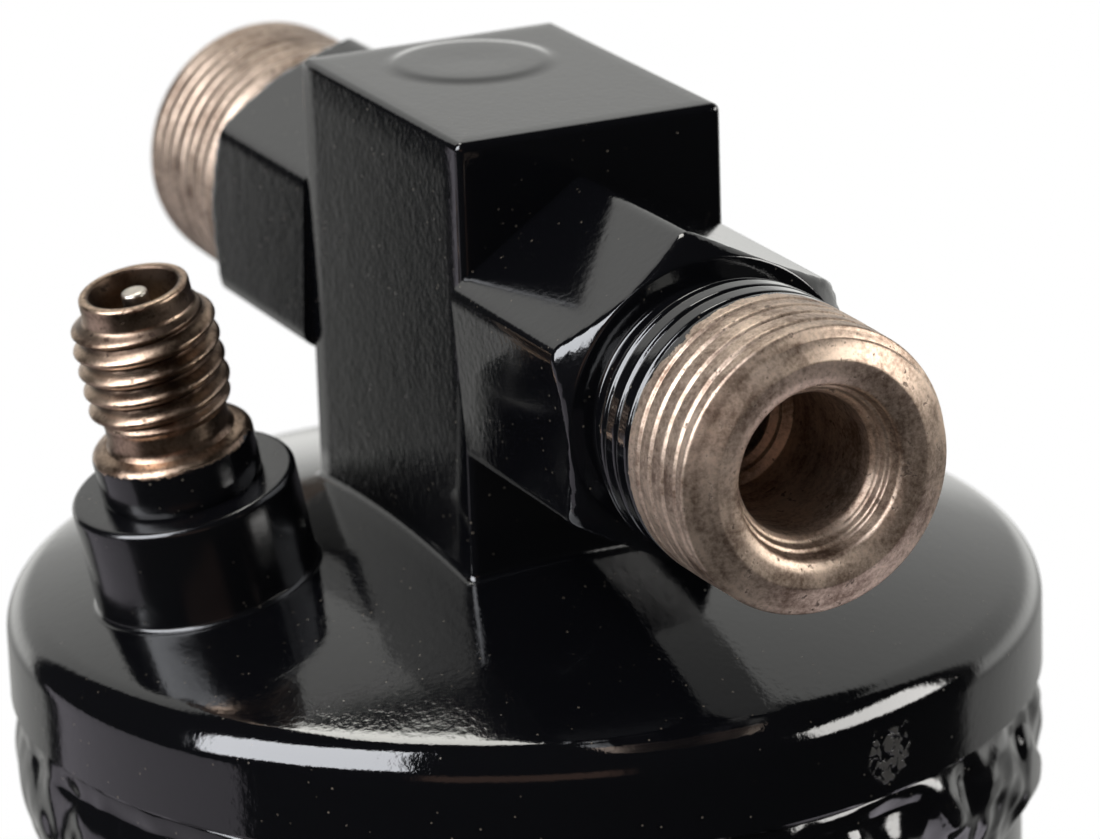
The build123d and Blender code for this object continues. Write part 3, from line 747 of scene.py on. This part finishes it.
def pinStem(material):
    # a stem turned about the valve's line, with a collet and a rounded head
    p = pin
    path = spaced(rounded([
        (p["foot"], 0), (p["foot"], p["radius"]), (p["colletFoot"], p["radius"]),
        (p["colletFoot"], p["collet"], 0.1), (p["colletFoot"] + p["colletHeight"], p["collet"], 0.1),
        (p["colletFoot"] + p["colletHeight"], p["radius"]), (p["top"] - p["headLength"], p["radius"]),
        (p["top"] - p["headLength"] + 0.1, p["head"], 0.1), (p["top"] - 0.02, p["head"], 0.45),
        (p["top"], 0.35, 0.2), (p["top"] - 0.06, 0)], 5), 0.9)
    turns = around(64)[None, :] + np.zeros((len(path), 1))
    grid = turned(valveFoot, valveLine, path[:, :1] + 0 * turns, path[:, 1:] + 0 * turns, turns)
    return skin("pinStem", grid, material, body=stem, replaces=["valve_pin"])


# ---- finishes of what is inside

def plainFinish(name, dark, light, rough, metal, size, depth, fixed=None):
    # two tones in soft blotches over a fine grain
    finish = Finish(name, {"Metallic": metal, **(fixed or {})})
    blotch = finish.noise(size * 6, detail=4.0)
    grain = finish.noise(size, detail=3.0)
    colour = finish.mix((blotch * 0.7 + grain * 0.3).step(0.3, 0.7), dark, light)
    return finish.feed(colour=colour, rough=rough + grain * 0.15, normal=finish.bump(grain, depth))


def screenFinish():
    # a woven wire screen: two crossed sets of fine waves round and up the sleeve
    finish = Finish("screenSteel", {"Metallic": 1.0})
    x, y, z = (finish.axis(finish.place, k) for k in "XYZ")
    turn = (x - 6.3 * mm).calc("ARCTAN2", y, x - 6.3 * mm)
    across = (turn * 120.0).calc("SINE", turn * 120.0)
    upward = (z * 9000.0).calc("SINE", z * 9000.0)
    weave = (across * upward * 0.5 + 0.5)
    colour = finish.mix(weave, (0.16, 0.16, 0.16), (0.62, 0.61, 0.6))
    return finish.feed(colour=colour, rough=0.3 + weave * 0.15, normal=finish.bump(weave, 0.05))


def beadedFinish():
    # packed round grains, each with its own tone, with painted shade darkening the gaps between them
    finish = Finish("desiccantGrains", {"Roughness": 0.8})
    near = finish.spots(2.4)
    tone = finish.noise(2.6, detail=1.0)
    colour = finish.mix(tone.step(0.35, 0.65), (0.50, 0.38, 0.27), (0.78, 0.68, 0.55))
    # painted shade: away from each grain's middle the colour goes dark brown, as if shadowed between grains
    colour = finish.mix(near.step(0.35, 0.75), colour, (0.22, 0.16, 0.11))
    return finish.feed(colour=colour, rough=0.7 + tone * 0.2, normal=finish.bump(1 - near, 0.5))


brass = plainFinish("brass", (0.60, 0.42, 0.18), (0.83, 0.64, 0.34), 0.22, 1.0, 0.4, 0.004)
pinSteel = plainFinish("pinSteel", (0.50, 0.44, 0.37), (0.78, 0.72, 0.64), 0.24, 1.0, 0.6, 0.001)
inner = {
    "brass": brass,
    "seal_plastic": plainFinish("sealPlastic", (0.78, 0.78, 0.75), (0.90, 0.90, 0.87), 0.4, 0.0, 0.5, 0.005),
    "rubber": plainFinish("rubber", (0.018, 0.018, 0.018), (0.045, 0.045, 0.045), 0.6, 0.0, 0.4, 0.01),
    "spring_steel": plainFinish("springSteel", (0.34, 0.34, 0.36), (0.58, 0.58, 0.6), 0.3, 1.0, 0.5, 0.004),
    "tube_steel": plainFinish("tubeSteel", (0.36, 0.36, 0.36), (0.58, 0.58, 0.58), 0.32, 1.0, 0.8, 0.006),
    "strainer_plastic": plainFinish("strainerPlastic", (0.74, 0.73, 0.66), (0.86, 0.85, 0.78), 0.45, 0.0, 0.7, 0.006),
    "screen_steel": screenFinish(),
    "pressed_steel": plainFinish("pressedSteel", (0.38, 0.38, 0.37), (0.60, 0.60, 0.58), 0.34, 1.0, 1.2, 0.008),
    "filter_felt": plainFinish("filterFelt", (0.66, 0.63, 0.56), (0.88, 0.86, 0.80), 0.85, 0.0, 0.35, 0.12),
    "desiccant": beadedFinish(),
    "black_paint": blackPaint,
    "turned_steel": outletSteel,
}
for part in frame["record"]["subparts"]:
    if part["node"] in frame["nodes"]:
        made = frame["nodes"][part["node"]].data.materials
        made.clear()
        made.append(inner[part["material_slot"]])
print("inner finishes made")

canShell()
capDome()
seamBead()
portBlock()
topPlug()
hoseFitting("outletFitting", 1, 4.0, outletSteel)
hoseFitting("inletFitting", -1, 2.5, inletSteel)
valveBoss()
valveBody()
coreBarrel(brass)
pinStem(pinSteel)
print("pieces made")

# ---- camera, floor, light

view = {"place": (0.366933, -0.168640, 0.374833), "right": (0.43950234, 0.89777719, -0.0288757),
        "up": (-0.27329131, 0.16427303, 0.94780074), "back": (0.85565738, -0.40866917, 0.31755308),
        "lens": 182.82, "shift": (-0.04234, -0.00205), "focus": 0.388, "stop": 57.0}


def camera():
    data = bpy.data.cameras.new("camera")
    data.sensor_width = 36.0
    data.lens = view["lens"]
    data.shift_x, data.shift_y = view["shift"]
    data.clip_start, data.clip_end = 0.02, 20.0
    data.dof.use_dof = True
    data.dof.focus_distance, data.dof.aperture_fstop = view["focus"], view["stop"]
    item = bpy.data.objects.new("camera", data)
    turn = Matrix((view["right"], view["up"], view["back"])).transposed().to_4x4()
    item.matrix_world = Matrix.Translation(view["place"]) @ turn
    bpy.context.scene.collection.objects.link(item)
    bpy.context.scene.camera = item


ground = {"radius": 0.75, "pale": 0.80, "fadeFrom": 0.24, "fadeTo": 0.5}


def floor():
    # a flat disc, pale near the object and fading to plain white at its rim
    g = ground
    radii = np.linspace(0, g["radius"], 24)[:, None]
    turns = around(96)[None, :]
    grid = np.stack([radii * np.cos(turns), radii * np.sin(turns), 0 * radii * turns], -1)
    rows, columns = grid.shape[:2]
    index = np.arange(rows * columns).reshape(rows, columns)
    index[0] = 0
    a, b = index[:-1], index[1:]
    quads = np.stack([a, b, np.roll(b, -1, 1), np.roll(a, -1, 1)], -1).reshape(-1, 4)
    faces = [list(dict.fromkeys(q)) for q in quads.tolist()]
    used, new = np.unique(np.concatenate([np.array(f) for f in faces]), return_inverse=True)
    sizes = np.cumsum([len(f) for f in faces])[:-1]
    mesh = bpy.data.meshes.new("floor")
    mesh.from_pydata((grid.reshape(-1, 3)[used]).tolist(), [], [f.tolist() for f in np.split(new, sizes)])
    mesh.update()
    item = bpy.data.objects.new("floor", mesh)
    bpy.context.scene.collection.objects.link(item)
    finish = Finish("floorPale", {"Roughness": 1.0, "Base Color": (g["pale"],) * 3, "Specular IOR Level": 0.0})
    x, y = finish.axis(finish.place, "X"), finish.axis(finish.place, "Y")
    away = (x * x + y * y) ** 0.5
    isCamera = finish.add("ShaderNodeLightPath", out="Is Camera Ray")
    white = finish.add("ShaderNodeEmission", {}, {"Color": (1.0, 1.0, 1.0), "Strength": 1.0})
    plain = Wire(finish.tree, finish.shader.outputs[0])
    both = finish.add("ShaderNodeMixShader", {}, {0: away.step(g["fadeFrom"], g["fadeTo"]) * isCamera, 1: plain, 2: white})
    finish.tree.links.new(both.socket, finish.tree.nodes["Material Output"].inputs["Surface"])
    mesh.materials.append(finish.material)
    item.visible_glossy = False


sky = {"fill": 0.5, "dark": 0.015, "edges": (112.0, -131.0), "horizon": 0.45, "wall": 0.36,
       "upper": 0.24}
# what the gloss sees: corners of each light or card as (azimuth, elevation) in degrees, azimuth from the
# camera's side with left negative; strength, tint, width of the soft edge
panels = [
    (((-84, 41), (-72, 3), (-26, 26), (-59, 73)), 9.0, (0.93, 0.95, 1.0), 0.012),
    (((-154, 48.5), (178, 58), (166, 75), (-143, 67)), 7.0, (1.0, 0.99, 0.93), 0.01),
    (((64, 26), (64, 8), (101, 8), (101, 33)), 8.0, (1.0, 0.98, 0.95), 0.03),
    (((-125, -9), (-125, -62), (-65, -62), (-65, -9)), 0.42, (1.0, 0.94, 1.05), 0.015),
    (((-22, 18), (-22, 4), (20, 4), (20, 18)), 0.35, (1.0, 0.6, 0.45), 0.06),
    (((66, -32), (66, -75), (122, -75), (122, -32)), 0.9, (1.0, 0.95, 1.05), 0.02),
]


def heading(azimuth, elevation):
    turn = math.atan2(-0.40867, 0.85566) + math.radians(azimuth)
    rise = math.radians(elevation)
    return np.array([math.cos(turn) * math.cos(rise), math.sin(turn) * math.cos(rise), math.sin(rise)])


def world():
    # white to the camera and an even fill on matt surfaces; gloss sees a dark room with a lit
    # backdrop behind the object, and the panels
    s = sky
    made = bpy.data.worlds.new("studio")
    bpy.context.scene.world = made
    made.use_nodes = True
    tree = made.node_tree
    direction = addNode(tree, "ShaderNodeTexCoord", out="Generated")

    def dot(vector):
        return addNode(tree, "ShaderNodeVectorMath", {"operation": "DOT_PRODUCT"},
                       {0: direction, 1: tuple(float(c) for c in vector)}, out="Value")

    def scaled(colour, factor):
        return addNode(tree, "ShaderNodeVectorMath", {"operation": "SCALE"}, {0: colour, "Scale": factor})

    def summed(first, second):
        return addNode(tree, "ShaderNodeVectorMath", {"operation": "ADD"}, {0: first, 1: second})

    rise = dot((0, 0, 1)).calc("ARCSINE", dot((0, 0, 1))) * (180 / math.pi)
    ahead, aside = dot(heading(0, 0)), dot(heading(90, 0))
    turn = aside.calc("ARCTAN2", aside, ahead) * (180 / math.pi)
    right, left = s["edges"]
    behind = turn.step(right - 2, right + 4) + turn.step(left + 1.5, left - 3)
    wall = s["wall"] + s["upper"] * rise.step(-16, -4) + s["horizon"] * rise.step(12, 0) * rise.step(-16, -4)
    wall = wall * rise.step(51, 48) * rise.step(-38, -24) * behind
    gloss = scaled((1.0, 1.0, 0.97), wall + s["dark"])
    for corners, strength, tint, soft in panels:
        points = [heading(*c) for c in corners]
        middle = sum(points)
        inside = 1.0
        for a, b in zip(points, points[1:] + points[:1]):
            across = np.cross(a, b) / np.linalg.norm(np.cross(a, b))
            across = across if across @ middle > 0 else -across
            inside = dot(across).step(-soft, soft) * inside
        gloss = summed(gloss, scaled(tint, inside * strength))
    isCamera = addNode(tree, "ShaderNodeLightPath", out="Is Camera Ray")
    isGlossy = addNode(tree, "ShaderNodeLightPath", out="Is Glossy Ray")
    seen = summed(scaled(gloss, isGlossy), scaled((1.0, 1.0, 1.0), (1 - isGlossy) * s["fill"]))
    colour = blend(tree, "RGBA", isCamera, seen, (1.0, 1.0, 1.0))
    tree.links.new(colour.socket, tree.nodes["Background"].inputs["Color"])


softbox = {"azimuth": -50.0, "elevation": 40.0, "distance": 0.95, "size": (0.55, 0.75), "watts": 11.0}


def lamp():
    # lights the matt surfaces and the floor; in gloss its place is taken by the first panel
    s = softbox
    data = bpy.data.lights.new("softbox", "AREA")
    data.shape = "RECTANGLE"
    data.size, data.size_y = s["size"]
    data.energy = s["watts"]
    away = Vector(heading(s["azimuth"], s["elevation"]))
    item = bpy.data.objects.new("softbox", data)
    place = Vector((0.0, 0.0, 0.235)) + away * s["distance"]
    item.matrix_world = Matrix.Translation(place) @ away.to_track_quat("Z", "Y").to_matrix().to_4x4()
    item.visible_glossy = False
    bpy.context.scene.collection.objects.link(item)


camera()
floor()
world()
lamp()
bpy.context.scene.view_settings.view_transform = "Standard"
print("camera, floor and light set")
